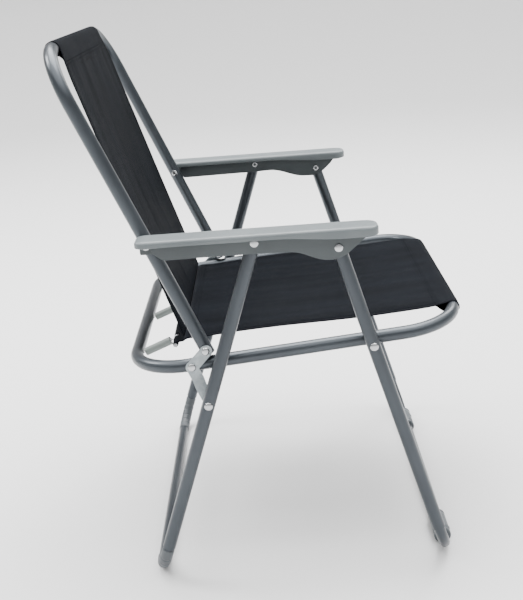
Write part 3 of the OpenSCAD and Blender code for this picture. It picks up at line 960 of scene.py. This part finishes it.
def cross_line(pts, nor, length, hw, disp, d, lift, inset=4.0, n=60):
    m = len(pts)
    i = min(m - 2, max(0, int(d / length * (m - 1))))
    t = d / length * (m - 1) - i
    p0 = pts[i] * (1 - t) + pts[i + 1] * t
    nn = nor[i] * (1 if lift > 0 else -1)
    wn = (W(nn[0], nn[1]) - W(0, 0)).normalized()
    h = hw(d) - inset
    out = []
    for j in range(n + 1):
        x = -h + 2 * h * j / n
        p = p0 + nor[i] * (disp(d, x) + lift)
        out.append((W(p[0], p[1], x), wn))
    return out


for side in (-1, 1):
    for lift in (CT / 2 - 0.1, -CT / 2 + 0.1):
        stitches("stitch_back_%s_%s" % ("l" if side < 0 else "r", "f" if lift > 0 else "b"),
                           seam_line(bpts, bnor, blen, hw_back, disp_back, 9.4, side, 6, L_MAIN - 16, lift), "back_sling")
for k, dd in enumerate((L_MAIN - 19.0, L_MAIN - 15.0)):
    for lift in (CT / 2 + 0.05, -CT / 2 - 0.05):
        stitches("stitch_back_top_%d%s" % (k, "f" if lift > 0 else "b"), cross_line(bpts, bnor, blen, hw_back, disp_back, dd, lift), "back_sling")

# seat: sleeve on the front bar, the panel, the corner, and the tail with its pocket on the hem rod
ROD = on_seat(-25, 12)
seat_main = [on_seat(s, o) for s, o in ((364, R_IN), (350, R_IN + 0.25), (300, R_IN + 1.2), (192, 13.8), (59, 17.8), (15, 18.4), (0, 18.9), (-6.5, 19.0))]
sm = cat(seat_main, 8)
sleeve = arc2(FRONT_BAR, R_IN, math.atan2(SD[0], -SD[1]), math.atan2(SD[0], -SD[1]) - math.radians(228), 36)
free = [on_seat(349.0, -2.8), on_seat(344.5, 1.8), on_seat(340.0, 6.2), on_seat(326.0, 8.4)]
tail_dir = (ROD - on_seat(-10, 19.5)).normalized()
tn = Vector((-tail_dir[1], tail_dir[0]))
ROD_R = 3.25 + CT / 2
corner_pts = [on_seat(-9.2, 18.6), on_seat(-10.9, 17.4), on_seat(-12.8, 16.0)]
pock0 = math.atan2((tn * -1)[1], (tn * -1)[0])
pocket = arc2(ROD, ROD_R, pock0 + math.radians(0), pock0 + math.radians(-288), 26)
pk2 = arc2(ROD, ROD_R, pock0, pock0 + math.radians(288), 26)
seat_path_a = list(reversed(free)) + list(reversed(sleeve)) + sm[1:] + corner_pts


def side_of(p):
    return (p - ROD).dot(tn)


# the tail meets the pocket on the side that it comes down
down_side = pocket if (pocket[0] - corner_pts[-1]).length < (pk2[0] - corner_pts[-1]).length else pk2
seat_path = seat_path_a + [corner_pts[-1].lerp(pk2[0], 0.5)] + pk2
L_FREE = sum((b - a).length for a, b in zip(list(reversed(free)) + list(reversed(sleeve)), (list(reversed(free)) + list(reversed(sleeve)))[1:]))
L_SEAT = sum((b - a).length for a, b in zip(sm, sm[1:]))


def hw_seat(d):
    t = 1 - sstep(L_FREE - 6, L_FREE + 40, d)
    return 178.0 - 14.0 * t ** 1.4 + 2.0 * math.sin(math.pi * min(1, max(0, (d - L_FREE) / L_SEAT))) * 0.0


def disp_seat(d, x):
    s = (d - L_FREE) / L_SEAT
    if not 0 < s < 1:
        return 0.0
    inner = sstep(0, 0.07, s) * (1 - sstep(0.94, 0.995, s))
    u = x / 178.0
    sag = -5.0 * math.sin(math.pi * s) ** 0.9 * (1 - u * u)
    fold = 1.3 * noise.noise(Vector((x * 0.034 - 0.0016 * d, d * 0.0034, 21.0))) + 0.3 * noise.noise(Vector((x * 0.08, d * 0.007, 5.5)))
    edge = 1.1 * math.sin(d * 0.022 + 0.7) * sstep(0.82, 1.0, abs(u))
    return SGN * inner * (sag + fold + edge)


# the path runs from the front sleeve to the rear, so its left-hand normal points down
SGN = -1.0


def hook_window(p):
    """Openings in the pocket where the spring eyes go round the rod; p in mm."""
    c = W(ROD[0], ROD[1], 0) * 1000
    return math.hypot(p.y - c.y, p.z - c.z) < 5.6 and min(abs(p.x - q) for q in (-150.0, 0.0, 150.0)) < 5.2


seat, spts, snor, slen = cloth("sling_seat_cloth", seat_path, 4.0, hw_seat, disp_seat, 11.0, MAT["cloth"], window=hook_window)


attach(seat, "seat")
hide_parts("sling_seat")
for side in (-1, 1):
    for lift in (CT / 2 - 0.1, -CT / 2 + 0.1):
        stitches("stitch_seat_%s_%s" % ("l" if side < 0 else "r", "u" if lift > 0 else "d"),
                            seam_line(spts, snor, slen, hw_seat, disp_seat, 9.4, side, L_FREE + 18, L_FREE + L_SEAT - 6, lift), "seat")
for k, dd in enumerate((L_FREE + 20.0, L_FREE + 24.0, L_FREE + L_SEAT - 9.0)):
    for lift in (CT / 2 + 0.05, -CT / 2 - 0.05):
        stitches("stitch_seat_row_%d%s" % (k, "a" if lift > 0 else "b"), cross_line(spts, snor, slen, hw_seat, disp_seat, dd, lift), "seat")

# ------------------------------------------------------------------ hem rod, springs and their sleeves
paint("hem_rod", MAT["wire"])
HOOK = on_seat(-84 + 8.1, -3.2)
sdir = (ROD - HOOK)
SP_LEN = sdir.length
sdir = sdir / SP_LEN
sup = Vector((-sdir[1], sdir[0]))


def sp_pt(t, o, x, cx):
    p = HOOK + sdir * t + sup * o
    return W(p[0], p[1], cx + x)


vv, ff = [], []


def add(vf):
    base = len(vv)
    vv.extend(vf[0])
    ff.extend(tuple(base + i for i in f) for f in vf[1])


for cx in (-150.0, 0.0, 150.0):
    wr, cr = 0.7, 2.9
    z0, z1 = 6.0, SP_LEN - 9.0
    turns = int((z1 - z0) / 1.5)
    pts = []
    # hook in the rear bar
    pts += [sp_pt(-3.0, 0, 0, cx), sp_pt(0.0, 0, 0, cx), sp_pt(3.2, 0, 0, cx), sp_pt(4.6, 0.6, 0, cx), sp_pt(5.4, 1.8, 0, cx)]
    n = turns * 14
    for i in range(n + 1):
        a = 2 * math.pi * i / 14
        t = z0 + (z1 - z0) * i / n
        pts.append(sp_pt(t, cr * math.cos(a), cr * math.sin(a), cx))
    pts += [sp_pt(z1 + 0.9, cr * 0.6, 0, cx), sp_pt(z1 + 1.8, 0.4, 0, cx), sp_pt(z1 + 3.0, 0, 0, cx)]
    # eye round the rod
    er = 3.6
    for i in range(1, 25):
        a = math.pi + 2 * math.pi * 0.93 * i / 24
        pts.append(sp_pt(SP_LEN + er * math.cos(a), er * math.sin(a), 0.55 * (i / 24) * 1.2, cx))
    add(sweep([Vector(p) for p in pts], wr / 1000, 8))
springs = new_obj("coil_springs", vv, ff, True, MAT["wire"])
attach(springs, "seat")
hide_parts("springs")

vv, ff = [], []
for cx in (-150.0, 0.0, 150.0):
    ln = SP_LEN - 13.0
    ro, ri = 5.8, 4.45
    prof = [(ri, 0.3), (ri + 0.3, 0.0), (ro - 0.35, 0.0), (ro, 0.4)]
    k = 22
    for i in range(k + 1):
        t = 1.2 + (ln - 2.4) * i / k
        prof.append((ro + 0.05 * math.sin(i * 1.9) - 0.06, t))
    prof += [(ro, ln - 0.4), (ro - 0.35, ln), (ri + 0.3, ln), (ri, ln - 0.3)]
    base = len(vv)
    m, n = len(prof), 32
    for j in range(n):
        a = 2 * math.pi * j / n
        for r, t in prof:
            vv.append(sp_pt(3.5 + t, r * math.cos(a), r * math.sin(a), cx))
    for j in range(n):
        q = (j + 1) % n
        for i in range(m):
            i2 = (i + 1) % m
            ff.append((base + j * m + i, base + j * m + i2, base + q * m + i2, base + q * m + i))
sleeves = new_obj("spring_sleeve_tubes", vv, ff, True, MAT["sleeve"])
fix_normals(sleeves)
smooth_by_angle(sleeves, 40)
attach(sleeves, "seat")
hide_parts("spring_sleeves")

# ------------------------------------------------------------------ floor, light and camera
def sweep_floor():
    """A pale paper floor that curves up into a low wall far away on every side."""
    n = 96
    prof = [(0.0, 0.0), (1.0, 0.0), (2.0, 0.0), (3.2, 0.0), (4.2, 0.0)]
    prof += [(4.2 + 1.6 * math.sin(math.radians(a)), 1.6 - 1.6 * math.cos(math.radians(a))) for a in range(10, 91, 10)]
    prof += [(5.8, 3.4)]
    vs, fs = [(0, 0, 0)], []
    for r, z in prof[1:]:
        for j in range(n):
            a = 2 * math.pi * j / n
            vs.append((r * math.cos(a), r * math.sin(a), z))
    for j in range(n):
        fs.append((0, 1 + j, 1 + (j + 1) % n))
    for i in range(len(prof) - 2):
        for j in range(n):
            k = (j + 1) % n
            fs.append((1 + i * n + j, 1 + (i + 1) * n + j, 1 + (i + 1) * n + k, 1 + i * n + k))
    t = Tree("floor_paper")
    t.set(Roughness=0.9, Specular_IOR_Level=0.05)
    tc_ = t.n("ShaderNodeTexCoord")
    sz = t.n("ShaderNodeSeparateXYZ")
    t.l(tc_.outputs["Object"], sz.inputs[0])
    t.l(t.ramp(t.mapr(sz.outputs[2], 0.0, 3.0, 0.0, 1.0), [(0.20, (0.66, 0.66, 0.66)), (0.80, (0.30, 0.30, 0.30))]), t.b.inputs["Base Color"])
    ob = new_obj("floor", vs, fs, True, t.mat)
    return ob


sweep_floor()
world = bpy.data.worlds.new("studio")
bpy.context.scene.world = world
world.use_nodes = True
wt = world.node_tree
bg = wt.nodes["Background"]
tc = wt.nodes.new("ShaderNodeTexCoord")
sx = wt.nodes.new("ShaderNodeSeparateXYZ")
wt.links.new(tc.outputs["Generated"], sx.inputs[0])
rp = wt.nodes.new("ShaderNodeValToRGB")
rp.color_ramp.elements[0].position = 0.50
rp.color_ramp.elements[0].color = (0.04, 0.04, 0.042, 1)
rp.color_ramp.elements[1].position = 0.80
rp.color_ramp.elements[1].color = (1, 1, 1, 1)
wt.links.new(sx.outputs[2], rp.inputs["Fac"])
wt.links.new(rp.outputs["Color"], bg.inputs["Color"])
bg.inputs["Strength"].default_value = 4.4


def area(name, loc, target, size, power, size_y=None):
    ld = bpy.data.lights.new(name, "AREA")
    ld.energy = power
    ld.shape = "RECTANGLE"
    ld.size = size
    ld.size_y = size_y or size
    ob = bpy.data.objects.new(name, ld)
    ob.location = loc
    ob.rotation_euler = (Vector(target) - Vector(loc)).to_track_quat("-Z", "Y").to_euler()
    col.objects.link(ob)
    return ob


area("key", (0.5, 2.2, 2.3), (0, 0, 0.35), 0.9, 60)
area("top", (0.8, -0.1, 3.2), (0, 0, 0.4), 2.4, 200)
area("rim", (1.9, -1.2, 1.9), (0, 0, 0.4), 0.8, 25)

psi, th, ro = (math.radians(a) for a in (-1.12, 18.59, -4.35))
fw = Vector((math.cos(psi) * math.cos(th), math.sin(psi) * math.cos(th), -math.sin(th)))
r0 = Vector((-math.sin(psi), math.cos(psi), 0))
u0 = fw.cross(r0)
if u0.z < 0:
    u0 = -u0
rr_ = math.cos(ro) * r0 + math.sin(ro) * u0
uu_ = -math.sin(ro) * r0 + math.cos(ro) * u0


def conv(v):
    return Vector((v[0], -v[1], v[2]))


X, Y, Z = conv(rr_), conv(uu_), -conv(fw)
loc = Vector((-1478.4, -(1.54 + 9 + F0), 808.7 + 10.7)) / 1000
cam = bpy.data.cameras.new("camera")
cam.lens = 60
cam.sensor_width = 36
cam.sensor_fit = "AUTO"
cam.clip_start = 0.01
co = bpy.data.objects.new("camera", cam)
M = Matrix(((X.x, Y.x, Z.x, loc.x), (X.y, Y.y, Z.y, loc.y), (X.z, Y.z, Z.z, loc.z), (0, 0, 0, 1)))
co.matrix_world = M
col.objects.link(co)
bpy.context.scene.camera = co
